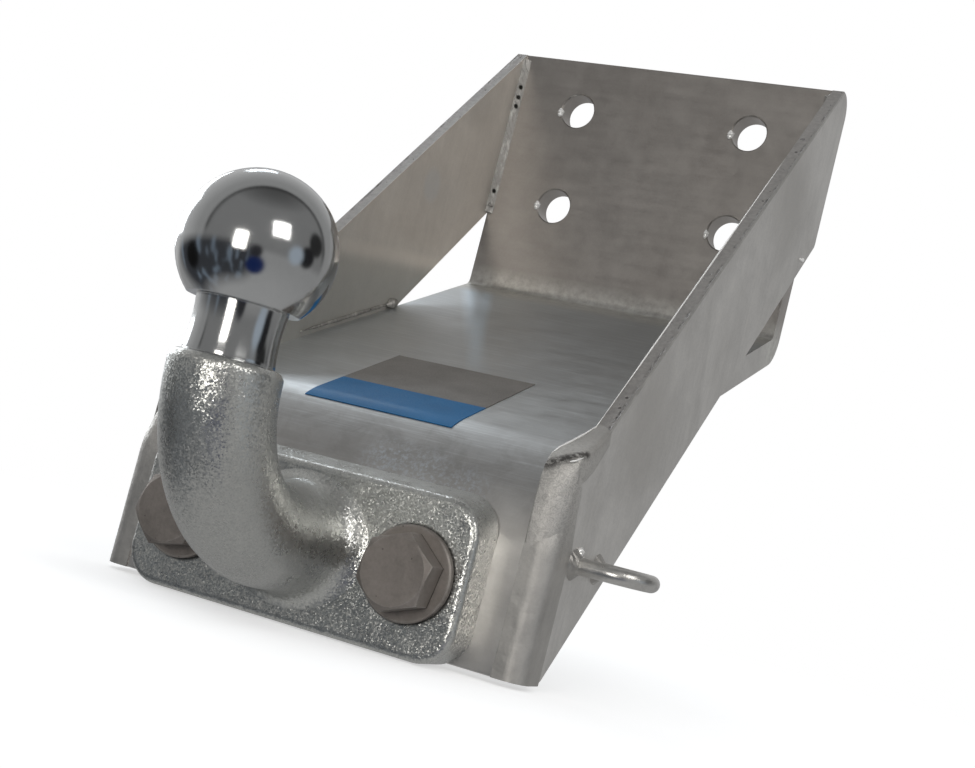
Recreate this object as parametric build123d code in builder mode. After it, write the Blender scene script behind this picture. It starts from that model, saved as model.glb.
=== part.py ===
import os
from math import cos, degrees, exp, radians, sin, sqrt, tan

from build123d import *

# A bolt-on tow ball bracket in hot-dip galvanised steel.
# X runs across, Y towards the vehicle, Z up, and the origin is the centre of
# the four vehicle bolt holes on the rear face. All lengths are millimetres.

# Folded plate
inner_width = 160.0
sheet = 12.0
top_z = 51.0
floor_start_z = -71.0
floor_angle = 22.3
front_reach = 237.3
bottom_rise = 1.5
rear_bend_inside = 4.0
front_bend_inside = 35.0
hole_spacing_x = 90.0
hole_spacing_z = 50.0
hole_diameter = 17.0
hole_chamfer = 0.6
sheet_edge = 0.8

# Side plates, cut from flat bar
bar_thickness = 6.0
bar_heel_z = -22.2
bar_nose_drop = 1.1
bar_toe_length = 10.4
bar_setback = 6.0
bar_rear_radius = 10.5
bar_heel_radius = 4.0
bar_nose_radius = 4.0
bar_toe_radius = 7.0
bar_edge = 0.5

# Ball flange forging
ball_diameter = 50.0
ball_reach = 66.7
ball_rise = 41.4
ball_flat_drop = 17.6
neck_diameter = 29.0
neck_waist = 27.8
neck_length = 17.4
neck_overlap = 1.0
shoulder_radius = 3.0
body_diameter = 36.0
body_straight = 1.7
swan_radius = 48.0
flange_width = 131.0
flange_height = 55.0
flange_draft = 3.5
flange_thickness = 16.0
flange_drop = 1.3
flange_corner = 13.0
flange_edge = 2.5
root_gap = 0.8
root_sink = 0.6
root_near = 2.0
root_far = 8.0

# Fasteners, M16 with plain washers in front and spring washers behind
bolt_spacing = 90.0
bolt_diameter = 16.0
bolt_length = 50.0
across_flats = 24.0
head_height = 10.0
nut_height = 13.0
washer_diameter = 32.4
washer_thickness = 3.0
washer_bore = 17.5
thread_clearance = 0.05
thread_edge = 1.3
hex_face_share = 0.95
hex_edge_angle = 60.0
left_head_turn = 12.0
right_head_turn = 20.0
washer_edge = 0.5
spring_washer_diameter = 26.0
spring_washer_bore = 16.6
spring_washer_thickness = 3.5
spring_washer_gap = 2.0

# Safety cable eye, bent rod
eye_rod = 6.0
eye_width = 24.0
eye_projection = 27.0
eye_setback = 33.3
eye_rise = 42.0
eye_weld_leg = 2.6

# Weld beads
corner_weld_lap = 4.7
corner_weld_rise = 0.5
corner_weld_round = 7.0
corner_weld_tail = 15.0
corner_weld_brow = 23.5
seam_weld_leg = 3.0
floor_weld_leg = 4.0

# Self-adhesive label
label_width = 62.0
label_centre_x = -2.0
label_flat_length = 55.6
label_film = 0.3
label_wrap_angle = 12.0

os.makedirs("parts", exist_ok=True)

# Values worked out from the driving dimensions
half_width = inner_width / 2
floor_slope = tan(radians(floor_angle))
sheet_drop = sheet / cos(radians(floor_angle))


def floor_top(y):
    """Height of the floor's upper face at a place along Y."""
    return floor_start_z + floor_slope * (y + sheet)


bend_outside = front_bend_inside + sheet
flange_front = front_reach + flange_thickness
ball_y = -flange_front - ball_reach
ball_z = floor_top(-front_reach) + ball_rise
neck_top_z = ball_z - ball_flat_drop
neck_step_z = neck_top_z - neck_length
swan_run_z = neck_step_z - body_straight - swan_radius
flange_z = swan_run_z - flange_drop
bottom_z = flange_z - flange_height / 2 + bottom_rise
bolt_places = [(-bolt_spacing / 2, flange_z), (bolt_spacing / 2, flange_z)]
bar_front = bar_setback - front_reach
bar_nose_z = floor_top(-front_reach) - bar_nose_drop
bar_toe_y = bar_front + bar_toe_length
bar_top_slope = (top_z - bar_nose_z) / (-sheet - bar_front)
bar_lower_slope = (bar_heel_z - bottom_z) / -bar_toe_y


def bar_top(y):
    """Height of a side plate's upper edge at a place along Y."""
    return top_z + bar_top_slope * (y + sheet)


def bar_lower(y):
    """Height of a side plate's lower edge at a place along Y."""
    return bar_heel_z + bar_lower_slope * y


def corner(sketch, x, y):
    """The sketch's corner nearest to a place."""
    return sketch.vertices().sort_by_distance((x, y))[0]


def finish(piece, name):
    """Name a piece and write it out."""
    piece.part.label = name
    export_step(piece.part, f"parts/{name}.step")


def finish_pair(piece, name):
    """Write a right-hand piece and its mirror image on the left."""
    finish(piece, f"{name}_right")
    with BuildPart() as opposite:
        mirror(piece.part, about=Plane.YZ)
    finish(opposite, f"{name}_left")


# Folded plate: back wall, sloping floor and front plate from one sheet
with BuildPart() as folded_plate:
    front_inside = sheet - front_reach
    with BuildSketch(Plane.YZ) as section:
        with BuildLine():
            Polyline(
                (-sheet, top_z),
                (-sheet, floor_start_z),
                (-front_reach, floor_top(-front_reach)),
                (-front_reach, bottom_z),
                (front_inside, bottom_z),
                (front_inside, floor_top(front_inside) - sheet_drop),
                (0, floor_top(0) - sheet_drop),
                (0, top_z),
                close=True,
            )
        make_face()
        fillet(corner(section, -sheet, floor_start_z), rear_bend_inside)
        fillet(corner(section, 0, floor_top(0) - sheet_drop), rear_bend_inside + sheet)
        fillet(corner(section, -front_reach, floor_top(-front_reach)), bend_outside)
        fillet(corner(section, front_inside, floor_top(front_inside) - sheet_drop), front_bend_inside)
    extrude(amount=half_width, both=True)
    long_edges = folded_plate.edges().filter_by(Axis.X).group_by(Axis.Z)
    fillet(long_edges[0] + long_edges[-1], sheet_edge)
    with BuildSketch(Plane.XZ):
        with GridLocations(hole_spacing_x, hole_spacing_z, 2, 2):
            Circle(hole_diameter / 2)
    extrude(amount=sheet, mode=Mode.SUBTRACT)
    front_rims = folded_plate.edges(Select.LAST).filter_by(GeomType.CIRCLE).group_by(Axis.Y)[0]
    chamfer(front_rims, hole_chamfer)
    with BuildSketch(Plane.XZ.offset(-front_inside)):
        with Locations(bolt_places):
            Circle(hole_diameter / 2)
    extrude(amount=sheet, mode=Mode.SUBTRACT)
finish(folded_plate, "folded_plate")

# Side plates: flat bar cut to the slope, welded to the folded plate's ends
with BuildPart() as side_plate:
    with BuildSketch(Plane.YZ.offset(half_width)) as bar:
        with BuildLine():
            Polyline(
                (-sheet, top_z),
                (bar_front, bar_nose_z),
                (bar_front, bottom_z),
                (bar_toe_y, bottom_z),
                (0, bar_heel_z),
                (0, top_z),
                close=True,
            )
        make_face()
        fillet(corner(bar, 0, top_z), bar_rear_radius)
        fillet(corner(bar, 0, bar_heel_z), bar_heel_radius)
        fillet(corner(bar, bar_toe_y, bottom_z), bar_toe_radius)
        fillet(corner(bar, bar_front, bar_nose_z), bar_nose_radius)
    extrude(amount=bar_thickness)
    chamfer(side_plate.faces().sort_by(Axis.X)[-1].edges(), bar_edge)
finish_pair(side_plate, "side_plate")

# Corner welds: weld metal between front plate and side plate, ground round
weld_front = front_reach + corner_weld_rise
weld_tail = corner_weld_tail - front_reach
weld_brow_z = floor_top(-front_reach) - corner_weld_brow
weld_side = half_width + bar_thickness + corner_weld_rise
with BuildPart() as corner_weld:
    with BuildSketch(Plane.YZ.offset(half_width - corner_weld_lap)) as bead:
        with BuildLine():
            Polyline(
                (-weld_front, bottom_z),
                (-weld_front, weld_brow_z),
                (bar_front, bar_nose_z - bar_nose_radius),
                (bar_front + bar_nose_radius, bar_nose_z - bar_nose_radius),
                (weld_tail, weld_brow_z),
                (weld_tail, bottom_z),
                close=True,
            )
        make_face()
        fillet(corner(bead, -weld_front, weld_brow_z), corner_weld_brow)
    extrude(amount=weld_side - half_width + corner_weld_lap)
    outside = corner_weld.faces().sort_by(Axis.X)[-1].edges().filter_by(
        lambda edge: edge.center().Y < bar_front and edge.center().Z > bottom_z + corner_weld_rise
    )
    fillet(outside, corner_weld_round)
    add(folded_plate.part, mode=Mode.SUBTRACT)
    add(side_plate.part, mode=Mode.SUBTRACT)
finish_pair(corner_weld, "corner_weld")

# Back welds: fillet beads in the upright corners of back wall and side plates
with BuildPart() as back_weld:
    with BuildSketch(Plane.XY.offset(bar_lower(-sheet))):
        with BuildLine():
            Polyline(
                (half_width, -sheet),
                (half_width - seam_weld_leg, -sheet),
                (half_width, -sheet - seam_weld_leg),
                close=True,
            )
        make_face()
    extrude(amount=bar_top(-sheet - seam_weld_leg) - bar_lower(-sheet))
finish_pair(back_weld, "back_weld")

# Floor welds: fillet beads under the floor, along the side plates' inner faces
bead_rear_y = (bar_heel_z - floor_start_z - floor_slope * sheet + sheet_drop + 2 * floor_weld_leg) / (
    floor_slope - bar_lower_slope
)
bead_front_y = sheet + bend_outside - front_reach
bead_length = (bead_rear_y - bead_front_y) / cos(radians(floor_angle))
along_floor = Plane(
    origin=(half_width, bead_rear_y, floor_top(bead_rear_y) - sheet_drop),
    x_dir=(-1, 0, 0),
    z_dir=(0, -cos(radians(floor_angle)), -sin(radians(floor_angle))),
)
with BuildPart() as floor_weld:
    with BuildSketch(along_floor):
        with BuildLine():
            Polyline((0, 0), (floor_weld_leg, 0), (0, floor_weld_leg), close=True)
        make_face()
    extrude(amount=bead_length)
finish_pair(floor_weld, "floor_weld")

# Ball flange: ball, neck, swan neck and bolting flange forged in one piece
swan_centre_y = ball_y + swan_radius
swan_centre_z = swan_run_z + swan_radius
swan_run = ball_reach - swan_radius
root_flare_width = bolt_spacing / 2 - washer_diameter / 2 - root_gap - body_diameter / 2
root_flare_height = flange_height / 2 - flange_edge - flange_drop - body_diameter / 2
root_places = [-root_sink, 0.5, 2, 4, 7, 11, 15, 20, 26, 33, 41]
swan_root_turn = degrees((root_places[-1] - swan_run) / swan_radius)


def root_plane(distance):
    """Plane across the body at a distance along it from the flange's face."""
    turn = max(distance - swan_run, 0) / swan_radius
    forward = flange_front + min(distance, swan_run) + swan_radius * sin(turn)
    return Plane(
        origin=(0, -forward, swan_centre_z - swan_radius * cos(turn)),
        x_dir=(1, 0, 0),
        z_dir=(0, -cos(turn), sin(turn)),
    )


with BuildPart() as ball_flange:
    with BuildSketch(Plane.XZ.offset(front_reach)):
        with Locations((0, flange_z + flange_draft / 2)):
            RectangleRounded(flange_width, flange_height + flange_draft, flange_corner)
    with BuildSketch(Plane.XZ.offset(flange_front)):
        with Locations((0, flange_z)):
            RectangleRounded(flange_width, flange_height, flange_corner)
    loft(ruled=True)
    fillet(ball_flange.faces().sort_by(Axis.Y)[0].edges(), flange_edge)
    for distance in root_places[:-1]:
        share = (exp(-distance / root_near) + exp(-distance / root_far)) / 2
        with BuildSketch(root_plane(distance)):
            Ellipse(
                body_diameter / 2 + share * root_flare_width,
                body_diameter / 2 + share * root_flare_height,
            )
    with BuildSketch(root_plane(root_places[-1])):
        Circle(body_diameter / 2)
    loft()
    with BuildLine(Plane.YZ) as swan:
        Line((ball_y, neck_step_z), (ball_y, swan_centre_z))
        CenterArc((swan_centre_y, swan_centre_z), swan_radius, 180, 90 - swan_root_turn)
    with BuildSketch(Plane((0, ball_y, neck_step_z), x_dir=(1, 0, 0), z_dir=(0, 0, -1))):
        Circle(body_diameter / 2)
    sweep(path=swan.line)
    rim = ball_flange.edges().filter_by(GeomType.CIRCLE).group_by(Axis.Z)[-1]
    fillet(rim, shoulder_radius)
    with BuildSketch(Plane.XZ.offset(-ball_y)):
        with BuildLine():
            ball_flat_radius = sqrt((ball_diameter / 2) ** 2 - ball_flat_drop**2)
            Line((0, neck_step_z - neck_overlap), (neck_diameter / 2, neck_step_z - neck_overlap))
            Line(
                (neck_diameter / 2, neck_step_z - neck_overlap),
                (neck_diameter / 2, neck_step_z + neck_overlap),
            )
            ThreePointArc(
                (neck_diameter / 2, neck_step_z + neck_overlap),
                (neck_waist / 2, neck_step_z + neck_length / 2),
                (neck_diameter / 2, neck_top_z),
            )
            Line((neck_diameter / 2, neck_top_z), (ball_flat_radius, neck_top_z))
            ThreePointArc(
                (ball_flat_radius, neck_top_z),
                (ball_diameter / 2, ball_z),
                (0, ball_z + ball_diameter / 2),
            )
            Line((0, ball_z + ball_diameter / 2), (0, neck_step_z - neck_overlap))
        make_face()
    revolve(axis=Axis((0, ball_y, 0), (0, 0, 1)))
    with BuildSketch(Plane.XZ.offset(front_reach)):
        with Locations(bolt_places):
            Circle(hole_diameter / 2)
    extrude(amount=flange_thickness, mode=Mode.SUBTRACT)
finish(ball_flange, "ball_flange")

# Bolts, washers and nuts that clamp the ball flange to the front plate
head_seat = flange_front + washer_thickness
spring_seat = front_reach - sheet - spring_washer_thickness
nut_seat = spring_seat - nut_height
hex_face = hex_face_share * across_flats / 2
for side, place, turn in zip(["left", "right"], bolt_places, [left_head_turn, right_head_turn]):
    with BuildPart() as bolt:
        with BuildSketch(Plane.XZ.offset(head_seat)):
            with Locations(place):
                RegularPolygon(across_flats / 2, 6, major_radius=False, rotation=turn)
        extrude(amount=head_height)
        with BuildSketch(Plane.XZ.offset(head_seat + head_height)):
            with Locations(place):
                Circle(hex_face)
        extrude(amount=-bolt_diameter, taper=-hex_edge_angle, mode=Mode.INTERSECT)
        with BuildSketch(Plane.XZ.offset(head_seat)):
            with Locations(place):
                Circle(bolt_diameter / 2)
        extrude(amount=-bolt_length)
        tip = bolt.edges().filter_by(GeomType.CIRCLE).sort_by(Axis.Y)[-1]
        chamfer(tip, thread_edge)
    finish(bolt, f"bolt_{side}")

    with BuildPart() as washer:
        with BuildSketch(Plane.XZ.offset(flange_front)):
            with Locations(place):
                Circle(washer_diameter / 2)
                Circle(washer_bore / 2, mode=Mode.SUBTRACT)
        extrude(amount=washer_thickness)
        rims = washer.edges().filter_by(GeomType.CIRCLE).group_by(SortBy.RADIUS)[-1]
        chamfer(rims, washer_edge)
    finish(washer, f"washer_{side}")

    with BuildPart() as spring_washer:
        with BuildSketch(Plane.XZ.offset(spring_seat)):
            with Locations(place):
                Circle(spring_washer_diameter / 2)
                Circle(spring_washer_bore / 2, mode=Mode.SUBTRACT)
            with Locations((place[0], place[1] - spring_washer_diameter / 2)):
                Rectangle(spring_washer_gap, spring_washer_diameter / 2, mode=Mode.SUBTRACT)
        extrude(amount=spring_washer_thickness)
    finish(spring_washer, f"spring_washer_{side}")

    with BuildPart() as nut:
        with BuildSketch(Plane.XZ.offset(nut_seat)):
            with Locations(place):
                RegularPolygon(across_flats / 2, 6, major_radius=False)
        extrude(amount=nut_height)
        with BuildSketch(Plane.XZ.offset(nut_seat)):
            with Locations(place):
                Circle(hex_face)
        extrude(amount=nut_height, taper=-hex_edge_angle, mode=Mode.INTERSECT)
        with BuildSketch(Plane.XZ.offset(nut_seat)):
            with Locations(place):
                Circle(bolt_diameter / 2 + thread_clearance)
        extrude(amount=nut_height, mode=Mode.SUBTRACT)
    finish(nut, f"nut_{side}")

# Safety cable eye: rod bent to a U and welded to the right side plate
eye_y = eye_setback - front_reach
eye_z = bottom_z + eye_rise
eye_bend = eye_width / 2
eye_leg_end = half_width + bar_thickness + eye_projection - eye_bend - eye_rod / 2
eye_root = half_width + bar_thickness
with BuildPart() as safety_eye:
    with BuildLine(Plane.XY.offset(eye_z)) as bent_rod:
        Line((eye_root, eye_y - eye_bend), (eye_leg_end, eye_y - eye_bend))
        CenterArc((eye_leg_end, eye_y), eye_bend, -90, 180)
        Line((eye_leg_end, eye_y + eye_bend), (eye_root, eye_y + eye_bend))
    with BuildSketch(Plane((eye_root, eye_y - eye_bend, eye_z), x_dir=(0, 1, 0), z_dir=(1, 0, 0))):
        Circle(eye_rod / 2)
    sweep(path=bent_rod.line)
finish(safety_eye, "safety_eye")

# Eye welds: a ring of weld metal round the foot of each leg
for name, leg_y in [("front", eye_y - eye_bend), ("rear", eye_y + eye_bend)]:
    with BuildPart() as eye_weld:
        with BuildSketch(Plane((eye_root, leg_y, eye_z), x_dir=(1, 0, 0), z_dir=(0, 0, 1))):
            with BuildLine():
                Polyline(
                    (0, eye_rod / 2),
                    (0, eye_rod / 2 + eye_weld_leg),
                    (eye_weld_leg, eye_rod / 2),
                    close=True,
                )
            make_face()
        revolve(axis=Axis((eye_root, leg_y, eye_z), (1, 0, 0)))
    finish(eye_weld, f"eye_weld_{name}")

# Label: a film on the floor that runs a little way over the front bend
label_face = Plane.YZ.offset(label_centre_x - label_width / 2)
bend_turn = 90 - floor_angle
bend_start = -front_reach + bend_outside * tan(radians(bend_turn / 2)) * cos(radians(floor_angle))
bend_centre = (
    bend_start + bend_outside * sin(radians(floor_angle)),
    floor_top(bend_start) - bend_outside * cos(radians(floor_angle)),
)
label_back_y = bend_start + label_flat_length
film_lift = label_film / cos(radians(floor_angle))


def on_bend(radius, turn):
    """A place on the front bend, turned down from where the floor ends."""
    angle = radians(90 + floor_angle + turn)
    return (bend_centre[0] + radius * cos(angle), bend_centre[1] + radius * sin(angle))


with BuildPart() as label:
    with BuildSketch(label_face):
        with BuildLine():
            outer = bend_outside + label_film
            Line((label_back_y, floor_top(label_back_y)), on_bend(bend_outside, 0))
            ThreePointArc(
                on_bend(bend_outside, 0),
                on_bend(bend_outside, label_wrap_angle / 2),
                on_bend(bend_outside, label_wrap_angle),
            )
            Line(on_bend(bend_outside, label_wrap_angle), on_bend(outer, label_wrap_angle))
            ThreePointArc(
                on_bend(outer, label_wrap_angle),
                on_bend(outer, label_wrap_angle / 2),
                on_bend(outer, 0),
            )
            Line(on_bend(outer, 0), (label_back_y, floor_top(label_back_y) + film_lift))
            Line(
                (label_back_y, floor_top(label_back_y) + film_lift),
                (label_back_y, floor_top(label_back_y)),
            )
        make_face()
    extrude(amount=label_width)
finish(label, "label")
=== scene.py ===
from math import cos, radians, sin

import bmesh
import bpy
from mathutils import Matrix, Vector


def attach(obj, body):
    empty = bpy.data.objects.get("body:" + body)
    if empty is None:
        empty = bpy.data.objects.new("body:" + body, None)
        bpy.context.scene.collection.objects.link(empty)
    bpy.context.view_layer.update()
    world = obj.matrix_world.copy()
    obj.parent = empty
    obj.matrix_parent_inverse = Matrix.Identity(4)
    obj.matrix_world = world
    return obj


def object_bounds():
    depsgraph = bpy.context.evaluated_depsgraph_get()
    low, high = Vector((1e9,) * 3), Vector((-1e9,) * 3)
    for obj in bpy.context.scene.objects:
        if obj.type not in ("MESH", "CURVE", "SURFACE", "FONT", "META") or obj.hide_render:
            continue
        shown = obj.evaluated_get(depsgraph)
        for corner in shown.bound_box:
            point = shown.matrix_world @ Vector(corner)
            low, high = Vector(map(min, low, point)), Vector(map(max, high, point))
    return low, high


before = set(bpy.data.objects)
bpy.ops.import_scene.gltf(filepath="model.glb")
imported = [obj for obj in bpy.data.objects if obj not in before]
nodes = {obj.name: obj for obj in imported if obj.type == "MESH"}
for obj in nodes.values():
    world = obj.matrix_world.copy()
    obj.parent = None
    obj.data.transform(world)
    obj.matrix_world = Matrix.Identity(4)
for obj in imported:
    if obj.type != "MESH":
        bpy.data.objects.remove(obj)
cad_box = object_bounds()

# Camera
# The bracket lies tipped over in the photograph, so the camera, level with the
# front plate, is rolled. Angles are in the bracket's own frame.
camera_place = Vector((0.26993, -0.71859, -0.1835))
camera_azimuth = radians(24.76)
camera_elevation = radians(-4.70)
camera_roll = radians(-14.36)
focal_pixels = 1564.39
image_width = 975
sensor_width = 36

forward = Vector((
    -sin(camera_azimuth) * cos(camera_elevation),
    cos(camera_azimuth) * cos(camera_elevation),
    -sin(camera_elevation),
))
level_right = forward.cross(Vector((0, 0, 1))).normalized()
level_up = level_right.cross(forward)
camera_right = cos(camera_roll) * level_right - sin(camera_roll) * level_up
camera_up = sin(camera_roll) * level_right + cos(camera_roll) * level_up
camera = bpy.data.objects.new("camera", bpy.data.cameras.new("camera"))
bpy.context.scene.collection.objects.link(camera)
turn = Matrix((camera_right, camera_up, -forward)).transposed()
camera.matrix_world = Matrix.Translation(camera_place) @ turn.to_4x4()
camera.data.sensor_width = sensor_width
camera.data.lens = sensor_width * focal_pixels / image_width
bpy.context.scene.camera = camera
bpy.context.scene.view_settings.view_transform = "Standard"

# White surround
# A plain white backdrop for the camera, for metal and for glass, and a soft
# grey-white room light for everything else.
plain_white = (1, 1, 1, 1)
room_light_colour = (0.96, 0.98, 1, 1)
room_light_strength = 0.75


def add(tree, kind, **settings):
    """A new shader node with its settings."""
    new = tree.nodes.new("ShaderNode" + kind)
    for key, value in settings.items():
        setattr(new, key, value)
    return new


def plug(tree, socket, value):
    """Give a socket another node's output or a plain value."""
    if isinstance(value, bpy.types.NodeSocket):
        tree.links.new(value, socket)
    elif value is not None:
        socket.default_value = value


def feed(tree, node, **values):
    """Give a node's named inputs a number, a colour or another node's output."""
    for key, value in values.items():
        plug(tree, node.inputs[key.replace("_", " ")], value)
    return node


def combine(tree, operation, first, second=None, third=None):
    """One to three values joined by a sum, product or other operation."""
    joined = add(tree, "Math", operation=operation)
    for socket, value in zip(joined.inputs, [first, second, third]):
        plug(tree, socket, value)
    return joined.outputs["Value"]


def blend_shaders(tree, share, first, second):
    """Two shaders mixed by a share."""
    mixed = add(tree, "MixShader")
    for socket, value in zip(mixed.inputs, [share, first, second]):
        plug(tree, socket, value)
    return mixed.outputs["Shader"]


world = bpy.data.worlds.new("white_surround")
bpy.context.scene.world = world
world.use_nodes = True
tree = world.node_tree
backdrop = feed(tree, tree.nodes["Background"], Color=plain_white)
room_light = feed(
    tree, add(tree, "Background"), Color=room_light_colour, Strength=room_light_strength
)
ray = add(tree, "LightPath").outputs
sees_white = combine(tree, "MAXIMUM", ray["Is Glossy Ray"], ray["Is Transmission Ray"])
sees_white = combine(tree, "MAXIMUM", ray["Is Camera Ray"], sees_white)
surround = blend_shaders(
    tree, sees_white, room_light.outputs["Background"], backdrop.outputs["Background"]
)
tree.links.new(surround, tree.nodes["World Output"].inputs["Surface"])

# Windows
# Soft windows behind the camera, high on its right, high behind the bracket and
# at its left, all equally far from the ball.
ball_place = Vector((0, -0.320, -0.122))
window_distance = 2.0
for name, toward, width, height, power, tint in [
    ("window_left", (0.13, -0.985, 0.02), 0.6, 0.8, 11, (1, 0.97, 0.92)),
    ("window_right", (0.77, -0.43, 0.47), 0.8, 0.7, 9, (1, 0.98, 0.95)),
    ("window_rear", (-0.52, 0.56, 0.64), 0.42, 0.2, 1.5, (0.85, 0.93, 1)),
    ("window_side", (-0.87, 0.42, 0.26), 1.2, 0.8, 13, (0.93, 0.97, 1)),
]:
    lamp = bpy.data.objects.new(name, bpy.data.lights.new(name, "AREA"))
    bpy.context.scene.collection.objects.link(lamp)
    lamp.data.shape = "RECTANGLE"
    lamp.data.size = width
    lamp.data.size_y = height
    lamp.data.energy = power
    lamp.data.color = tint
    away = Vector(toward).normalized()
    lamp.location = ball_place + window_distance * away
    lamp.rotation_euler = (-away).to_track_quat("-Z", "Y").to_euler()

# Grey room
# What the polished metal mirrors, on a round screen that only reflections see: a
# dim hall, lighter behind the bracket and at its low right, with dark furniture.
room_radius = 3


def stretched(tree, vector, scale):
    """Object coordinates stretched by a scale on each axis."""
    return feed(tree, add(tree, "Mapping"), Vector=vector, Scale=scale).outputs["Vector"]


def clouds(tree, vector, size, detail=4, roughness=0.55, distortion=0):
    """Noise with features of about a size in metres."""
    noise = feed(
        tree, add(tree, "TexNoise"), Vector=vector, Scale=1 / size, Detail=detail,
        Roughness=roughness, Distortion=distortion,
    )
    return noise.outputs["Fac"]


def spread(tree, value, low, high, new_low=0.0, new_high=1.0):
    """A value's range stretched to another, with its ends held."""
    ranged = feed(
        tree, add(tree, "MapRange"), Value=value, From_Min=low, From_Max=high,
        To_Min=new_low, To_Max=new_high,
    )
    return ranged.outputs["Result"]


def times(tree, first, second):
    """The product of two values."""
    return combine(tree, "MULTIPLY", first, second)


def steer(tree, operation, first, second=None):
    """One or two vectors joined by a sum, product or distance."""
    joined = add(tree, "VectorMath", operation=operation)
    for socket, value in zip(joined.inputs, [first, second]):
        plug(tree, socket, value)
    return joined.outputs["Value" if operation in ("DOT_PRODUCT", "DISTANCE") else "Vector"]


def blend_colours(tree, share, first, second):
    """Two colours mixed by a share."""
    mixed = add(tree, "Mix", data_type="RGBA", clamp_factor=True)
    plug(tree, mixed.inputs[0], share)
    for socket, colour in [(mixed.inputs[6], first), (mixed.inputs[7], second)]:
        plug(tree, socket, (*colour, 1) if isinstance(colour, tuple) else colour)
    return mixed.outputs[2]


def nearness(tree, outward, direction):
    """How squarely a direction of the room points one way, from -1 to 1."""
    return steer(tree, "DOT_PRODUCT", outward, Vector(direction).normalized())


room_mesh = bpy.data.meshes.new("room")
shape = bmesh.new()
bmesh.ops.create_uvsphere(shape, u_segments=48, v_segments=24, radius=room_radius)
bmesh.ops.translate(shape, verts=shape.verts, vec=ball_place)
shape.to_mesh(room_mesh)
shape.free()
room = bpy.data.objects.new("room", room_mesh)
bpy.context.scene.collection.objects.link(room)
for unseen in ["camera", "diffuse", "transmission", "volume_scatter", "shadow"]:
    setattr(room, "visible_" + unseen, False)
room_paint = bpy.data.materials.new("room_paint")
room_paint.use_nodes = True
tree = room_paint.node_tree
tree.nodes.clear()
outward = steer(tree, "SUBTRACT", add(tree, "TexCoord").outputs["Object"], ball_place)
outward = steer(tree, "NORMALIZE", outward)
upward = nearness(tree, outward, (0, 0, 1))
across = nearness(tree, outward, (0.69, -0.72, 0))

# Ceiling and far wall, then the wall behind the bracket, then the table.
shade = spread(tree, upward, 0.80, 1.0, 0.25, 0.10)
wall_line = times(tree, spread(tree, across, 0.05, -0.03), spread(tree, upward, 0.0, 0.2))
shade = times(tree, shade, spread(tree, wall_line, 0, 1, 1, 0.35))
wall_lit = spread(tree, across, -0.3, -0.8, 0.36, 0.58)
room_colour = blend_colours(tree, spread(tree, across, -0.06, -0.10), shade, wall_lit)
table_shade = spread(tree, upward, -0.3, -0.9, 0.36, 0.43)
room_colour = blend_colours(tree, spread(tree, upward, -0.04, -0.16), room_colour, table_shade)

# A low slatted rack at the camera's left.
rack = times(tree, spread(tree, upward, 0.03, -0.12), spread(tree, upward, -0.90, -0.68))
rack_side = nearness(tree, outward, (-0.55, -0.83, 0))
rack = times(tree, rack, spread(tree, rack_side, 0.22, 0.50))
slats = clouds(tree, stretched(tree, outward, (1, 1, 0.05)), 0.16, 1.5)
rack_colour = blend_colours(
    tree, spread(tree, slats, 0.54, 0.64), (0.05, 0.053, 0.06), (0.18, 0.22, 0.27)
)
room_colour = blend_colours(tree, rack, room_colour, rack_colour)

# Round patches: a blue box, dark furniture and two pale openings.
for direction, inner, outer, colour in [
    ((0.50, -0.70, -0.46), 0.985, 0.965, (0.012, 0.025, 0.10)),
    ((0.53, -0.83, -0.16), 0.994, 0.985, (0.03, 0.03, 0.035)),
    ((0.93, 0.27, 0.06), 0.985, 0.97, (0.02, 0.02, 0.022)),
    ((0.82, 0.47, 0.33), 0.985, 0.97, (0.03, 0.03, 0.03)),
    ((-0.90, -0.31, -0.30), 0.985, 0.97, (0.01, 0.01, 0.01)),
    ((0.98, -0.03, 0.02), 0.992, 0.97, (0.42, 0.48, 0.55)),
    ((-0.555, 0.82, 0.126), 0.992, 0.94, (0.20, 0.21, 0.23)),
]:
    patch = spread(tree, nearness(tree, outward, direction), outer, inner)
    room_colour = blend_colours(tree, patch, room_colour, colour)
glow = feed(tree, add(tree, "Emission"), Color=room_colour)
tree.links.new(glow.outputs["Emission"], add(tree, "OutputMaterial").inputs["Surface"])
room_mesh.materials.append(room_paint)

# Floor
# A white table under the bracket's lowest edge. It keeps the soft shadow near
# the bracket and fades to plain white farther out.
table_reach = 6
table_gap = 0.0005
table_height = cad_box[0][2]
shadow_middle = (0, -0.16, table_height)
shadow_to, white_from = 0.18, 0.55
table_colour = (0.62, 0.62, 0.62, 1)
table_lift = 0.5

floor_mesh = bpy.data.meshes.new("floor")
shape = bmesh.new()
bmesh.ops.create_grid(shape, x_segments=1, y_segments=1, size=table_reach)
bmesh.ops.translate(shape, verts=shape.verts, vec=(0, 0, table_height - table_gap))
shape.to_mesh(floor_mesh)
shape.free()
floor = bpy.data.objects.new("floor", floor_mesh)
bpy.context.scene.collection.objects.link(floor)
floor.visible_glossy = False
floor_paint = bpy.data.materials.new("floor_paint")
floor_paint.use_nodes = True
tree = floor_paint.node_tree
tree.nodes.clear()
matt = feed(tree, add(tree, "BsdfDiffuse"), Color=table_colour).outputs["BSDF"]
lift = feed(tree, add(tree, "Emission"), Color=plain_white, Strength=table_lift)
shadowed = add(tree, "AddShader")
tree.links.new(matt, shadowed.inputs[0])
tree.links.new(lift.outputs["Emission"], shadowed.inputs[1])
blank = feed(tree, add(tree, "Emission"), Color=plain_white)
offset = steer(tree, "DISTANCE", add(tree, "TexCoord").outputs["Object"], shadow_middle)
fade = feed(
    tree, add(tree, "MapRange", interpolation_type="SMOOTHSTEP"), Value=offset,
    From_Min=shadow_to, From_Max=white_from,
)
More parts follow.
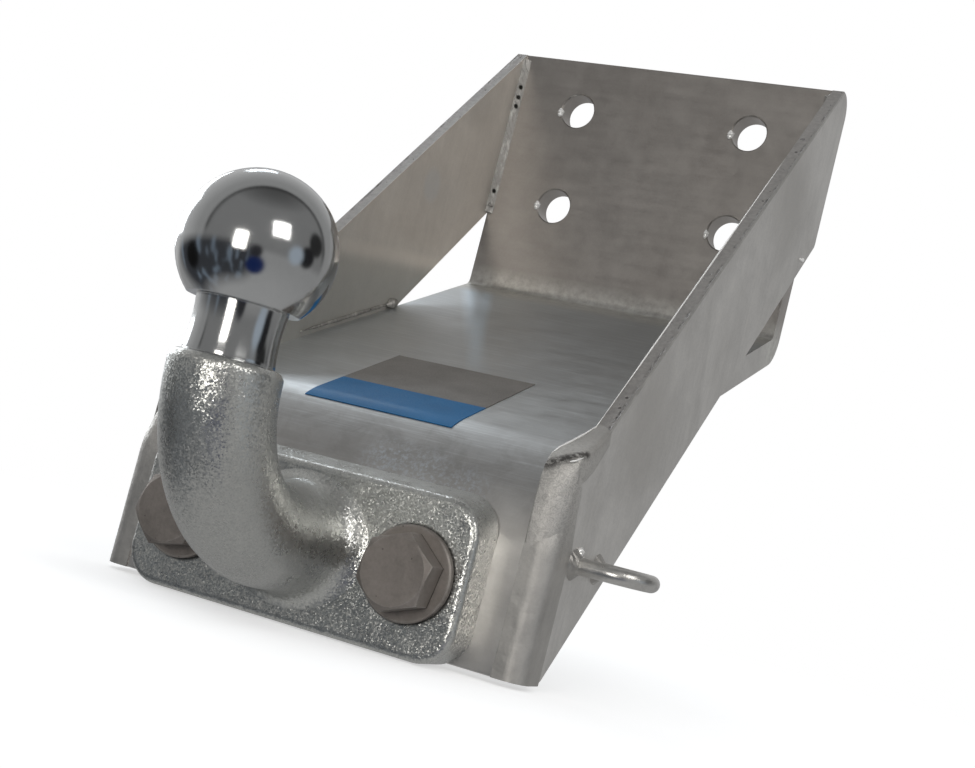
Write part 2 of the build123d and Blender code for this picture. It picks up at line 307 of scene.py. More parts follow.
table = blend_shaders(
    tree, fade.outputs["Result"], shadowed.outputs["Shader"], blank.outputs["Emission"]
)
seen = add(tree, "LightPath").outputs["Is Camera Ray"]
tree.links.new(
    blend_shaders(tree, seen, matt, table), add(tree, "OutputMaterial").inputs["Surface"]
)
floor_mesh.materials.append(floor_paint)

# Folded plate
# One 12 mm steel sheet folded to back wall, floor and front plate, hot-dip
# galvanised. The zinc is dull and cloudy, with faint rolling streaks.
cloud_size, mottle_size, streak_size, grain_size = 0.055, 0.012, 0.0035, 0.0011
rubbed_tone = (0.62, 0.61, 0.58)


def blank_group(name, inputs, outputs):
    """A shader node group with named float or vector sockets."""
    group = bpy.data.node_groups.new(name, "ShaderNodeTree")
    for label, kind, value in inputs:
        socket = group.interface.new_socket(label, in_out="INPUT", socket_type=kind)
        socket.default_value = value
    for label, kind in outputs:
        group.interface.new_socket(label, in_out="OUTPUT", socket_type=kind)
    into = group.nodes.new("NodeGroupInput").outputs
    return group, into, group.nodes.new("NodeGroupOutput")


def weighed(tree, parts):
    """The sum of some values, each times its weight."""
    total = 0.0
    for value, weight in parts:
        total = combine(tree, "MULTIPLY_ADD", value, weight, total)
    return total


def tinted(tree, colour, layers):
    """A colour turned towards each layer's tone where its mask is, by its strength."""
    for mask, strength, tone in layers:
        colour = blend_colours(tree, times(tree, mask, strength), colour, tone)
    return colour


def axes(tree, vector):
    """A vector's X, Y and Z."""
    return feed(tree, add(tree, "SeparateXYZ"), Vector=vector).outputs


def within(tree, where, **fades):
    """1 in a region, fading to 0 over a stretch of each axis: its outer, then inner end."""
    share = 1.0
    for axis, (outer, inner) in fades.items():
        share = times(tree, share, spread(tree, where[axis], outer, inner))
    return share


def spots(tree, place, points, inner, outer):
    """1 within a distance of any of the points, 0 beyond another."""
    share = 0.0
    for point in points:
        away = steer(tree, "DISTANCE", place, point)
        share = combine(tree, "MAXIMUM", share, spread(tree, away, outer, inner))
    return share


zinc_skin, skin_in, skin_out = blank_group(
    "zinc_skin",
    [("Place", "NodeSocketVector", (0, 0, 0)), ("Run", "NodeSocketVector", (1, 1, 1))],
    [("Tone", "NodeSocketFloat"), ("Roughness", "NodeSocketFloat"), ("Height", "NodeSocketFloat")],
)
skin_cloud = clouds(zinc_skin, skin_in["Place"], cloud_size, 5, 0.6, 0.7)
skin_mottle = clouds(zinc_skin, skin_in["Place"], mottle_size, 6, 0.65, 0.3)
skin_grain = clouds(zinc_skin, skin_in["Place"], grain_size, 3, 0.6)
along = steer(zinc_skin, "MULTIPLY", skin_in["Place"], skin_in["Run"])
skin_streak = clouds(zinc_skin, along, streak_size, 5, 0.6)
skin_tone = weighed(zinc_skin, [
    (skin_cloud, 0.42), (skin_mottle, 0.32), (skin_streak, 0.2), (skin_grain, 0.14),
])
skin_dull = weighed(zinc_skin, [(skin_mottle, 0.6), (skin_streak, 0.4)])
skin_height = weighed(zinc_skin, [(skin_mottle, 0.6), (skin_grain, 0.25), (skin_streak, 0.3)])
feed(
    zinc_skin, skin_out, Tone=spread(zinc_skin, skin_tone, 0.42, 0.68),
    Roughness=spread(zinc_skin, skin_dull, 0.35, 0.65), Height=skin_height,
)

edge_rub, rub_in, rub_out = blank_group(
    "edge_rub",
    [("Place", "NodeSocketVector", (0, 0, 0)), ("Width", "NodeSocketFloat", 0.0012)],
    [("Rub", "NodeSocketFloat")],
)
rounded = feed(edge_rub, add(edge_rub, "Bevel", samples=4), Radius=rub_in["Width"])
flat = add(edge_rub, "NewGeometry").outputs["True Normal"]
turned = steer(edge_rub, "DOT_PRODUCT", rounded.outputs["Normal"], flat)
rub_patch = spread(edge_rub, clouds(edge_rub, rub_in["Place"], 0.006, 4, 0.7), 0.38, 0.62)
rub_line = spread(edge_rub, turned, 0.995, 0.90)
feed(edge_rub, rub_out, Rub=times(edge_rub, rub_line, rub_patch))

pin_pits, pits_in, pits_out = blank_group(
    "pin_pits",
    [
        ("Place", "NodeSocketVector", (0, 0, 0)), ("Spacing", "NodeSocketFloat", 0.006),
        ("Share", "NodeSocketFloat", 0.2), ("Size", "NodeSocketFloat", 0.18),
    ],
    [("Pit", "NodeSocketFloat")],
)
pit_cells = feed(
    pin_pits, add(pin_pits, "TexVoronoi"), Vector=pits_in["Place"],
    Scale=combine(pin_pits, "DIVIDE", 1.0, pits_in["Spacing"]),
)
pit_random = feed(pin_pits, add(pin_pits, "SeparateColor"), Color=pit_cells.outputs["Color"])
pit_chosen = combine(pin_pits, "LESS_THAN", pit_random.outputs["Red"], pits_in["Share"])
pit_ragged = combine(
    pin_pits, "MULTIPLY_ADD", clouds(pin_pits, pits_in["Place"], 0.0009, 3), 0.12,
    pit_cells.outputs["Distance"],
)
pit_ragged = combine(pin_pits, "SUBTRACT", pit_ragged, 0.06)
pit_round = combine(pin_pits, "LESS_THAN", pit_ragged, pits_in["Size"])
feed(pin_pits, pits_out, Pit=times(pin_pits, pit_chosen, pit_round))


def pitted(tree, place, spacing, share, size):
    """Pits in a share of the cells of a spacing, their size in cells."""
    group = add(tree, "Group", node_tree=pin_pits)
    feed(tree, group, Place=place, Spacing=spacing, Share=share, Size=size)
    return group.outputs["Pit"]


def finish_metal(name, dark, light, rough_low, rough_high, bump, run=(1, 1, 0.08), rub=0.35):
    """Zinc-coated metal between two tones, with streaks, grain and rubbed edges."""
    metal = bpy.data.materials.new(name)
    metal.use_nodes = True
    tree = metal.node_tree
    shader = tree.nodes["Principled BSDF"]
    place = add(tree, "TexCoord").outputs["Object"]
    skin = feed(tree, add(tree, "Group", node_tree=zinc_skin), Place=place, Run=run).outputs
    worn = feed(tree, add(tree, "Group", node_tree=edge_rub), Place=place)
    colour = blend_colours(tree, skin["Tone"], dark, light)
    colour = tinted(tree, colour, [(worn.outputs["Rub"], rub, rubbed_tone)])
    relief = feed(tree, add(tree, "Bump"), Height=skin["Height"], Distance=bump, Strength=0.5)
    feed(
        tree, shader, Base_Color=colour, Metallic=0.9, Normal=relief.outputs["Normal"],
        Roughness=spread(tree, skin["Roughness"], 0, 1, rough_low, rough_high),
    )
    return metal, tree, shader, place, colour, skin, relief


def dress(name, metal):
    """Put a material on a node of the bracket."""
    nodes[name].data.materials.clear()
    nodes[name].data.materials.append(metal)


sheet_zinc, tree, shader, place, colour = finish_metal(
    "sheet_zinc", (0.46, 0.448, 0.428), (0.68, 0.667, 0.642), 0.28, 0.42, 0.00016,
    run=(0.12, 1, 1),
)[:5]
where = axes(tree, place)
on_wall = within(tree, where, Y=(-0.0135, -0.0125), Z=(-0.085, -0.060))
on_floor = within(tree, where, Y=(-0.020, -0.030), Z=(-0.185, -0.160))
from_middle = combine(tree, "ABSOLUTE", where["X"])
on_floor = times(tree, on_floor, spread(tree, from_middle, 0.07995, 0.0797))
on_bend = within(tree, where, Y=(-0.205, -0.222), Z=(-0.190, -0.170))
on_front = within(tree, where, Z=(-0.165, -0.190))
brushed = clouds(tree, stretched(tree, place, (0.04, 1, 1)), 0.0009, 3, 0.6)
brushed = times(tree, spread(tree, brushed, 0.48, 0.72), on_floor)
# Painted light on the folded sheet's faces: painted shade on the back wall, warmer, and on the
# front bend, and a painted cool reflection on the floor. The fine brushing on the floor is the
# zinc's own.
colour = tinted(tree, colour, [
    (on_wall, 0.59, (0.27, 0.235, 0.210)),
    (on_floor, 0.6, (0.52, 0.56, 0.585)),
    (on_bend, 0.3, (0.36, 0.34, 0.325)),
    (brushed, 0.35, (0.80, 0.83, 0.85)),
])

# Two slanted streaks of light on the floor, from its left rear corner.
streak_core = 0.001
for slope, start_x, half_width, strength in [
    (0.595, 0.0871, 0.0065, 0.55), (0.493, 0.0747, 0.0045, 0.5),
]:
    across = combine(tree, "ADD", where["X"], start_x)
    across = combine(tree, "MULTIPLY_ADD", where["Y"], slope, across)
    streak = spread(tree, combine(tree, "ABSOLUTE", across), half_width, streak_core)
    streak = times(tree, streak, within(tree, where, Y=(-0.165, -0.080)))
    streak = times(tree, streak, times(tree, on_floor, strength))
    colour = blend_colours(tree, streak, colour, (0.78, 0.90, 1.0))

# Smudges and a painted bluish sheen, grained like glitter, on the front bend, painted light on the
# front plate, which is made lighter and warmer, white zinc along the wall's foot and a few pits.
smudge = spread(tree, clouds(tree, place, 0.013, 6, 0.7, 0.5), 0.46, 0.62)
painted_sheen = spots(
    tree, place, [(0.030, -0.236, -0.1735), (0.016, -0.2355, -0.172), (0.046, -0.2373, -0.178)],
    0.002, 0.015,
)
painted_sheen_grain = spread(tree, clouds(tree, place, 0.0014, 5, 0.7), 0.46, 0.64)
wall_foot = within(tree, where, Z=(-0.060, -0.072), Y=(-0.030, -0.014))
foot_grain = spread(tree, clouds(tree, place, 0.004, 5, 0.7), 0.35, 0.6)
colour = tinted(tree, colour, [
    (times(tree, on_bend, smudge), 0.3, (0.24, 0.225, 0.215)),
    (times(tree, painted_sheen, painted_sheen_grain), 0.85, (0.80, 0.88, 0.97)),
    (on_front, 0.45, (0.82, 0.785, 0.745)),
    (times(tree, wall_foot, foot_grain), 0.7, (0.78, 0.78, 0.73)),
    (pitted(tree, place, 0.03, 0.12, 0.05), 0.8, (0.03, 0.03, 0.028)),
])
feed(tree, shader, Base_Color=colour)
dress("folded_plate", sheet_zinc)

# Side plates
# Flat bar, 6 mm thick, sawn and torch-cut to shape and galvanised. Zinc ran down
# them in faint vertical streaks, and their cut edges are rough and pitted.
sawn_line_at = 0.0846
bar_zinc, tree, shader, place, colour, skin, relief = finish_metal(
    "bar_zinc", (0.49, 0.478, 0.458), (0.77, 0.755, 0.728), 0.30, 0.46, 0.0002,
    run=(1, 1, 0.07), rub=0.4,
)
where = axes(tree, place)
facing = axes(tree, add(tree, "NewGeometry").outputs["True Normal"])
cut_edge = spread(tree, combine(tree, "ABSOLUTE", facing["X"]), 0.7, 0.4)
saw_marks = clouds(tree, stretched(tree, place, (0.8, 1, 1)), 0.0022, 6, 0.8)
edge_tone = blend_colours(
    tree, spread(tree, saw_marks, 0.35, 0.65), (0.25, 0.236, 0.226), (0.44, 0.42, 0.402)
)
# A painted reflection of a back-wall hole, pale blue, on the left plate's inner face.
painted_hole_reflection = spots(tree, place, [(-0.080, -0.076, -0.0386)], 0.006, 0.0095)
dull_patch = spots(tree, place, [(0.086, -0.058, -0.014), (0.086, -0.176, -0.136)], 0.010, 0.036)

# Pits on the cut edges, a few on the faces, and a broken line where the saw met
# the torch cut.
edge_pits = times(tree, pitted(tree, place, 0.0055, 0.16, 0.13), cut_edge)
few_pits = pitted(tree, place, 0.035, 0.25, 0.035)
sawn_line = combine(tree, "SUBTRACT", combine(tree, "ABSOLUTE", where["X"]), sawn_line_at)
sawn_line = spread(tree, combine(tree, "ABSOLUTE", sawn_line), 0.0006, 0.0001)
line_breaks = spread(tree, clouds(tree, place, 0.011, 7, 0.9), 0.49, 0.60)
sawn_line = times(tree, times(tree, sawn_line, line_breaks), cut_edge)
nicks = clouds(tree, stretched(tree, place, (1, 0.6, 0.6)), 0.0016, 3, 0.6)
nicks = times(tree, spread(tree, nicks, 0.66, 0.72), cut_edge)
all_pits = edge_pits
for more_pits in [few_pits, sawn_line, nicks]:
    all_pits = combine(tree, "MAXIMUM", all_pits, more_pits)

# Painted light: the left plate's inner face is lightened, lit more in a band, and painted shade
# dims it under the band.
in_left = times(tree, within(tree, where, X=(-0.0804, -0.0802)), within(tree, where, X=(0.05, 0)))
line = combine(tree, "ADD", where["Z"], 0.0626)
line = combine(tree, "MULTIPLY_ADD", where["Y"], -0.161, line)
band = times(tree, in_left, spread(tree, combine(tree, "ABSOLUTE", line), 0.0045, 0.001))
under = times(tree, in_left, spread(tree, line, -0.002, -0.007))
colour = tinted(tree, colour, [
    (painted_hole_reflection, 0.4, (0.48, 0.57, 0.66)),
    (dull_patch, 0.42, (0.41, 0.392, 0.365)),
    (cut_edge, 0.75, edge_tone),
    (all_pits, 0.75, (0.05, 0.048, 0.045)),
    (in_left, 0.45, (0.86, 0.82, 0.76)),
    (under, 0.36, (0.44, 0.46, 0.43)),
    (band, 0.4, (0.90, 0.85, 0.79)),
])
height = weighed(tree, [
    (skin["Height"], 1), (times(tree, saw_marks, cut_edge), 1.4), (all_pits, -2.0),
])
feed(tree, relief, Height=height)
feed(tree, shader, Base_Color=colour)
dress("side_plate_left", bar_zinc)
dress("side_plate_right", bar_zinc)

# Corner welds
# Thick beads that join front plate and side plates, ground round with a disc
# and galvanised over. Arcs of the disc and a few pores are left.
ground_weld, tree, shader, place, colour, skin, relief = finish_metal(
    "ground_weld", (0.43, 0.418, 0.40), (0.58, 0.565, 0.54), 0.50, 0.62, 0.0002,
    run=(1, 1, 0.3), rub=0.2,
)
curls = combine(tree, "SUBTRACT", clouds(tree, place, 0.0030, 3, 0.5, 3.5), 0.5)
curls = spread(tree, combine(tree, "ABSOLUTE", curls), 0.10, 0.0)
ground_spot = spots(tree, place, [(0.084, -0.238, -0.166), (-0.084, -0.238, -0.166)], 0.006, 0.030)
ground_tone = times(tree, curls, spread(tree, ground_spot, 0, 1, 0.05, 0.6))
colour = blend_colours(tree, ground_tone, colour, (0.88, 0.86, 0.82))
pits = pitted(tree, place, 0.011, 0.14, 0.08)
colour = blend_colours(tree, pits, colour, (0.02, 0.02, 0.018))

# Painted shade in a dark crevice over each corner, where the bead stops short of the edge.
crevice = [
    (side * x / 1000, y / 1000, z / 1000)
    for side in [-1, 1]
    for x, y, z in [
        (76, -236.8, -161.5), (77.4, -236.3, -160.8), (78.8, -235.5, -159.8),
        (80.2, -234.6, -158.8), (81.6, -233.4, -157.7), (83, -232, -156.7),
        (84.4, -230.6, -155.8), (85.8, -228.6, -154.9),
    ]
]
shadow = spots(tree, place, crevice, 0.0009, 0.0030)
shadow = times(tree, shadow, spread(tree, clouds(tree, place, 0.0024, 5, 0.7), 0.36, 0.52))
colour = tinted(tree, colour, [(shadow, 0.88, (0.07, 0.065, 0.06))])
dents = clouds(tree, place, 0.009, 3, 0.5)
height = weighed(tree, [(skin["Height"], 0.5), (ground_tone, 0.5), (dents, 5.0), (pits, -2.0)])
feed(tree, relief, Height=height, Strength=0.7)
feed(tree, shader, Base_Color=colour)
dress("corner_weld_left", ground_weld)
dress("corner_weld_right", ground_weld)

# Corner build-up
# Weld metal laid over the right corner, from the side plate's edge to the front
# plate. It was left smooth on top and ground with the corner weld in front.
shares_across = [0, 0.04, 0.12, 0.3, 0.5, 0.7, 0.88, 0.96, 1]
dip_at_right = 0.12


def lay_metal(name, shape, rings, metal):
    """Skin rings of points to one closed, smooth piece of weld metal or zinc."""
    for ring, following in zip(rings, rings[1:]):
        for k in range(len(ring)):
            shape.faces.new((ring[k - 1], ring[k], following[k], following[k - 1]))
    shape.faces.new(rings[0])
    shape.faces.new(reversed(rings[-1]))
    bmesh.ops.recalc_face_normals(shape, faces=shape.faces)
    for face in shape.faces:
        face.smooth = True
    mesh = bpy.data.meshes.new(name)
    shape.to_mesh(mesh)
    shape.free()
    mesh.materials.append(metal)
    piece = bpy.data.objects.new(name, mesh)
    bpy.context.scene.collection.objects.link(piece)
    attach(piece, "root")


# Each station: its left and right end on the surface and how far the metal goes
# down from there, in y and in z, all in millimetres.
shape = bmesh.new()
rings = []
for left, right, drop_y, drop_z in [
    ((80.3, -204.0, -138.4), (85.8, -204.0, -138.4), 0.5, -3.0),
    ((80.0, -210.8, -144.1), (86.0, -211.0, -144.4), 1.5, -5.0),
    ((78.5, -215.9, -147.7), (86.2, -216.5, -148.6), 2.0, -6.0),
    ((77.0, -222.3, -151.5), (86.3, -222.5, -151.9), 3.0, -8.0),
    ((75.5, -228.2, -154.8), (86.3, -228.5, -154.6), 4.0, -9.0),
    ((75.2, -233.4, -157.8), (86.2, -233.6, -157.2), 6.0, -8.0),
    ((75.4, -236.9, -161.6), (86.2, -233.2, -160.8), 6.0, -4.0),
    ((75.3, -237.9, -167.0), (86.4, -231.8, -167.0), 6.0, -2.0),
    ((75.3, -238.0, -174.0), (86.4, -231.2, -174.0), 6.0, 0.0),
    ((75.3, -237.9, -182.0), (86.4, -231.0, -182.0), 6.0, 0.0),
    ((75.5, -237.6, -191.0), (86.3, -230.6, -191.0), 6.0, 0.0),
    ((75.7, -237.2, -196.0), (86.1, -230.2, -196.0), 6.0, 0.0),
]:
    drop = Vector((0, drop_y, drop_z))
    ring = []
    for share in shares_across:
        point = Vector(left).lerp(Vector(right), share)
        point.y = left[1] + (right[1] - left[1]) * share ** 4
        dip = dip_at_right * max(0, 2 * share - 1) ** 6
        ring.append(shape.verts.new((point + dip * drop) / 1000))
    for end in [right, left]:
        ring.append(shape.verts.new((Vector(end) + drop) / 1000))
    rings.append(ring)
lay_metal("corner_build_up_right", shape, rings, ground_weld)

# Seam welds
# Fillet beads left as they were laid, rippled and galvanised over, with pores
# where the zinc didn't close.
seam_zinc, tree, shader, place, colour, skin, relief = finish_metal(
    "seam_zinc", (0.28, 0.27, 0.255), (0.48, 0.466, 0.442), 0.40, 0.60, 0.0006,
    run=(1, 1, 1), rub=0.0,
)
ripples = feed(
    tree, add(tree, "TexWave", bands_direction="DIAGONAL"), Vector=place, Scale=150,
    Distortion=5, Detail=3,
)
wall_pores = [
    (-0.0787, -0.0133, 0.0331), (-0.0787, -0.0133, 0.0277), (-0.0787, -0.0133, 0.0229),
    (-0.0787, -0.0133, -0.0225),
]
eye_pores = [(0.0875, -0.2165, -0.1905)]
holes = spots(tree, place, wall_pores, 0.0008, 0.0014)
holes = combine(tree, "MAXIMUM", holes, spots(tree, place, eye_pores, 0.0009, 0.0015))
crest = clouds(tree, stretched(tree, place, (1, 1, 0.4)), 0.0035, 5, 0.7)
crest = spread(tree, crest, 0.52, 0.68, 0, 0.55)
colour = blend_colours(tree, crest, colour, (0.80, 0.785, 0.75))
pits = times(tree, pitted(tree, place, 0.006, 0.14, 0.22), 0.7)
pits = combine(tree, "MAXIMUM", pits, holes)
colour = blend_colours(tree, pits, colour, (0.02, 0.02, 0.018))
height = weighed(tree, [(skin["Height"], 1), (ripples.outputs["Fac"], 0.7), (pits, -1.5)])
feed(tree, relief, Height=height)
feed(tree, shader, Base_Color=colour)
for name in [
    "back_weld_left", "back_weld_right", "floor_weld_left", "floor_weld_right",
    "eye_weld_front", "eye_weld_rear",
]:
    dress(name, seam_zinc)

# Zinc drops
# Beads and drops of weld metal and zinc that set on the plates: down both edges
# of the floor, over the right corner weld and in the openings at the side. The bright ones get a
# near-white, half-metallic zinc that paints glints on them; those in the back wall's holes and
# along the right plate's inner edge are painted glints only.
steps_per_point = 7
sides_round = 8
angles = [radians(360 / sides_round * k) for k in range(sides_round)]
thinnest_end = 0.12
bright_drops = ("eye_drip", "corner_crest", "edge_glint_inner", "hole_glint", "side_drop")
drop_and_glint_zinc, tree, shader = finish_metal(
    "drop_and_glint_zinc", (0.78, 0.77, 0.745), (0.95, 0.94, 0.92), 0.18, 0.34, 0.0003,
    run=(1, 1, 1), rub=0,
)[:3]
feed(tree, shader, Metallic=0.4)

# Each drop: its centre line and its thickness, in millimetres.
for name, points, thick in [
    ("floor_run_left", [
        (-79.6, -86, -98.6), (-79.6, -95, -102.6), (-79.6, -110, -108.6),
        (-79.6, -126, -115.2), (-79.6, -142, -121.8), (-79.6, -156, -127.5),
    ], 1.1),
    ("floor_run_right", [
        (79.6, -60, -87.8), (79.6, -85, -98.2), (79.6, -112, -109.4),
        (79.6, -140, -121), (79.6, -170, -133.2), (79.6, -192, -142),
    ], 1.1),
    ("floor_drop_left", [(-79.4, -82, -97.6), (-79.2, -86, -98.8), (-79.4, -90, -100.8)], 2.8),
    ("wall_drop_left", [(-79.6, -12.4, -26), (-79.4, -12.6, -29.5), (-79.6, -12.4, -32.5)], 2.2),
    ("side_drop_right", [(86.0, -22, -33.5), (86.2, -18, -33.0), (86.0, -14, -32.0)], 1.0),
    ("eye_drip", [(86.4, -216.2, -189.6), (86.5, -214.6, -187.8), (86.2, -212.6, -186.0)], 1.9),
    ("corner_crest_right", [
        (79.9, -210, -143.6), (78.5, -215.9, -147.7), (77.0, -222.3, -151.5),
        (75.5, -228.2, -154.8), (75.2, -232.9, -157.5),
    ], 0.5),
    ("corner_crest_lower", [
        (83.4, -236.0, -159.2), (85.0, -234.6, -158.3), (86.1, -231.6, -156.7),
    ], 0.4),
    # A painted highlight along the right plate's inner edge, laid as a thin pale zinc run.
    ("edge_glint_inner", [
        (80.1, -62, 1.7), (80.1, -110, -45.5), (80.1, -160, -94.6), (80.0, -212, -145.2),
    ], 0.42),
    # Painted glints in the back wall's holes, laid as small pale zinc beads.
    ("hole_glint_upper_left", [(-54, -12.6, 20.8), (-53.6, -12.4, 23), (-54, -12.6, 25.2)], 1.9),
    ("hole_glint_upper_right", [(36, -12.6, 20.8), (36.4, -12.4, 23), (36, -12.6, 25.2)], 1.9),
    ("hole_glint_lower_left", [(-54, -12.6, -28.2), (-53.6, -12.4, -26), (-54, -12.6, -23.8)], 1.9),
    ("hole_glint_lower_right", [(36, -12.6, -29.2), (36.4, -12.4, -27), (36, -12.6, -24.8)], 1.5),
]:
    shape = bmesh.new()
    rings = []
    path = [Vector(point) / 1000 for point in points]
    steps = steps_per_point * (len(path) - 1)
    for step in range(steps + 1):
        run = step / steps * (len(path) - 1)
        first = min(int(run), len(path) - 2)
        centre = path[first].lerp(path[first + 1], run - first)
        ahead = (path[first + 1] - path[first]).normalized()
        across_a = ahead.orthogonal().normalized()
        across_b = ahead.cross(across_a)
        uneven = 0.86 + 0.10 * sin(0.9 * step) + 0.04 * sin(2.3 * step + 1)
        tapered = max(thinnest_end, sin(radians(180 * step / steps))) ** 0.5
        swell = thick / 1000 * uneven * tapered
        rings.append([
            shape.verts.new(centre + swell * (cos(angle) * across_a + sin(angle) * across_b))
            for angle in angles
        ])
    lay_metal(name, shape, rings, drop_and_glint_zinc if name.startswith(bright_drops) else seam_zinc)

# Ball flange
# One forging. Ball and neck are turned and polished bright. Below the step the
# forged skin is zinc-coated and glitters with grains about half a millimetre wide.
step_height = -0.1572
step_fade = 0.0003
flange_front = 0.2533
bolt_x = 0.045
bolt_z = -0.208
washer_radius = 0.0162
zinc_grains, grains_in, grains_out = blank_group(
    "zinc_grains",
    [
        ("Place", "NodeSocketVector", (0, 0, 0)), ("Grain", "NodeSocketFloat", 0.0006),
        ("Tilt", "NodeSocketFloat", 0.3),
    ],
    [("Tone", "NodeSocketFloat"), ("Normal", "NodeSocketVector")],
)
grain_cells = feed(
    zinc_grains, add(zinc_grains, "TexVoronoi"), Vector=grains_in["Place"],
    Scale=combine(zinc_grains, "DIVIDE", 1.0, grains_in["Grain"]),
)
grain_colour = grain_cells.outputs["Color"]
tilted = feed(
    zinc_grains, add(zinc_grains, "VectorMath", operation="SCALE"),
    Vector=steer(zinc_grains, "SUBTRACT", grain_colour, (0.5, 0.5, 0.5)),
    Scale=grains_in["Tilt"],
)
upright = add(zinc_grains, "NewGeometry").outputs["Normal"]
leaned = steer(zinc_grains, "ADD", upright, tilted.outputs["Vector"])
grain_random = feed(zinc_grains, add(zinc_grains, "SeparateColor"), Color=grain_colour)
feed(
    zinc_grains, grains_out, Tone=grain_random.outputs["Green"],
    Normal=steer(zinc_grains, "NORMALIZE", leaned),
)

forging = bpy.data.materials.new("forging")
forging.use_nodes = True
tree = forging.node_tree
shader = tree.nodes["Principled BSDF"]
place = add(tree, "TexCoord").outputs["Object"]
where = axes(tree, place)
facing = axes(tree, add(tree, "NewGeometry").outputs["Normal"])
polished = spread(tree, where["Z"], step_height - step_fade, step_height + step_fade)
skin = feed(tree, add(tree, "Group", node_tree=zinc_skin), Place=place, Run=(1, 1, 1)).outputs
grains = feed(
    tree, add(tree, "Group", node_tree=zinc_grains), Place=place, Grain=0.00045, Tilt=0.30
).outputs

# The forged skin: pale and dark grains, a painted cool rim light where it faces left,
# painted shade on the swan neck and painted contact shade in rings where the washers lie.
coat = blend_colours(tree, skin["Tone"], (0.47, 0.476, 0.46), (0.62, 0.624, 0.60))
pale_grain = spread(tree, grains["Tone"], 0.6, 1.0, 0, 0.3)
coat = blend_colours(tree, pale_grain, coat, (0.85, 0.83, 0.77))
dark_grain = spread(tree, grains["Tone"], 0.35, 0.0, 0, 0.3)
coat = blend_colours(tree, dark_grain, coat, (0.20, 0.205, 0.20))
painted_rim_light = times(
    tree, spread(tree, facing["X"], -0.55, -0.90), within(tree, where, Z=(-0.190, -0.170))
)
on_neck = within(tree, where, Y=(-0.258, -0.268), Z=(-0.174, -0.190))
washer_gap = 0
for side in [-1, 1]:
    from_bolt = steer(tree, "DISTANCE", place, (side * bolt_x, -flange_front, bolt_z))
    gap = combine(tree, "ABSOLUTE", combine(tree, "SUBTRACT", from_bolt, washer_radius))
    washer_gap = combine(tree, "MAXIMUM", washer_gap, spread(tree, gap, 0.0011, 0.0003))
coat = tinted(tree, coat, [
    (painted_rim_light, 0.6, (0.84, 0.90, 0.94)),
    (on_neck, 0.42, (0.36, 0.362, 0.35)),
    (washer_gap, 0.85, (0.05, 0.048, 0.045)),
])
bright = blend_colours(tree, skin["Tone"], (0.52, 0.528, 0.53), (0.56, 0.568, 0.568))

# Coat below the step, polish above it.
coat_rough = spread(tree, skin["Roughness"], 0, 1, 0.24, 0.36)
bright_rough = spread(tree, skin["Roughness"], 0, 1, 0.10, 0.14)
smoother = combine(tree, "SUBTRACT", bright_rough, coat_rough)
turned_edge = feed(tree, add(tree, "Bevel", samples=4), Radius=0.0009)
facets = add(tree, "Mix", data_type="VECTOR")
plug(tree, facets.inputs[0], polished)
plug(tree, facets.inputs[4], grains["Normal"])
plug(tree, facets.inputs[5], turned_edge.outputs["Normal"])
coat_height = times(tree, skin["Height"], combine(tree, "SUBTRACT", 1.0, polished))
relief = feed(
    tree, add(tree, "Bump"), Strength=0.35, Distance=0.0006, Height=coat_height,
    Normal=facets.outputs[1],
)
feed(
    tree, shader, Base_Color=blend_colours(tree, polished, coat, bright),
    Roughness=combine(tree, "MULTIPLY_ADD", smoother, polished, coat_rough),
    Metallic=spread(tree, polished, 0, 1, 0.88, 1), Normal=relief.outputs["Normal"],
)
dress("ball_flange", forging)

# Bolts, washers and nuts
# M16 steel with a dull grey-brown zinc flake coat, a little rubbed on the
# corners and specked with fine grit.
head_seat = 0.2563
flake_coat, tree, shader, place, colour = finish_metal(
    "flake_coat", (0.18, 0.16, 0.144), (0.315, 0.283, 0.259), 0.42, 0.60, 0.0003,
    run=(1, 1, 1), rub=0.3,
)[:5]
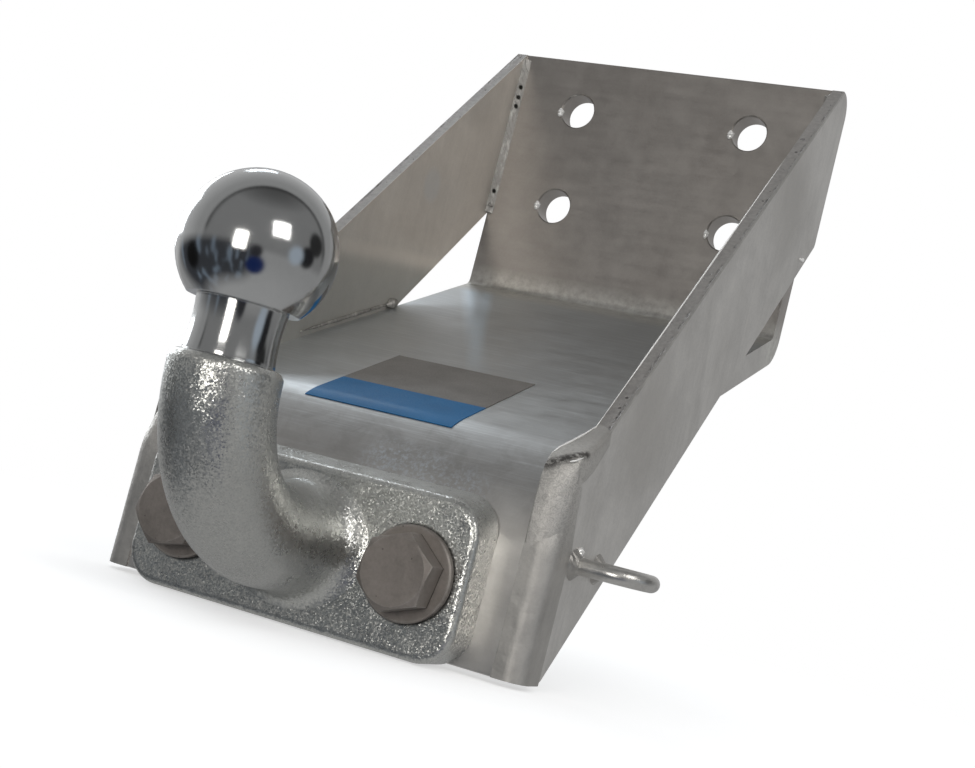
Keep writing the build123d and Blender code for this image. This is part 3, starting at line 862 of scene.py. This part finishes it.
# Painted contact shade: a thin dark band at the foot of each bolt head, where it sits on its
# washer.
past_washer = combine(tree, "ADD", axes(tree, place)["Y"], head_seat)
under_head = times(
    tree, spread(tree, past_washer, -0.0001, -0.0002), spread(tree, past_washer, -0.0010, -0.0005)
)
colour = tinted(tree, colour, [
    (pitted(tree, place, 0.0022, 0.12, 0.16), 0.55, (0.07, 0.06, 0.055)),
    (under_head, 0.8, (0.02, 0.018, 0.016)),
])
feed(tree, shader, Base_Color=colour, Metallic=0.65)
for name in ["bolt", "washer", "spring_washer", "nut"]:
    dress(name + "_left", flake_coat)
    dress(name + "_right", flake_coat)

# Safety cable eye
# A 6 mm steel rod bent to a U, welded to the right side plate and galvanised
# smooth and bright.
rod_zinc = finish_metal(
    "rod_zinc", (0.46, 0.452, 0.435), (0.70, 0.69, 0.665), 0.24, 0.40, 0.0004,
    run=(0.3, 1, 1), rub=0,
)[0]
dress("safety_eye", rod_zinc)

# Label
# A printed polyester film on the floor: a bare metallic grey field at the back
# and a blue field that wraps over the front bend.
blue_starts = -0.1925
blue_fade = 0.0002
label_film = bpy.data.materials.new("label_film")
label_film.use_nodes = True
tree = label_film.node_tree
shader = tree.nodes["Principled BSDF"]
place = add(tree, "TexCoord").outputs["Object"]
is_blue = spread(
    tree, axes(tree, place)["Y"], blue_starts + blue_fade, blue_starts - blue_fade
)
print_dots = clouds(tree, place, 0.0005, 2)
print_cloud = clouds(tree, place, 0.012, 4)
print_tone = spread(tree, print_cloud, 0.3, 0.7)
grey_field = blend_colours(tree, print_tone, (0.105, 0.098, 0.09), (0.14, 0.132, 0.122))
blue_field = blend_colours(tree, print_tone, (0.004, 0.085, 0.21), (0.007, 0.105, 0.255))
relief = feed(tree, add(tree, "Bump"), Height=print_cloud, Strength=0.3, Distance=0.0002)
feed(
    tree, shader, Base_Color=blend_colours(tree, is_blue, grey_field, blue_field),
    Roughness=spread(tree, print_dots, 0.3, 0.7, 0.38, 0.52), Normal=relief.outputs["Normal"],
    Specular_IOR_Level=spread(tree, is_blue, 0, 1, 0.3, 0.12),
    Coat_Weight=spread(tree, is_blue, 0, 1, 0.14, 0.05), Coat_Roughness=0.16,
)
dress("label", label_film)
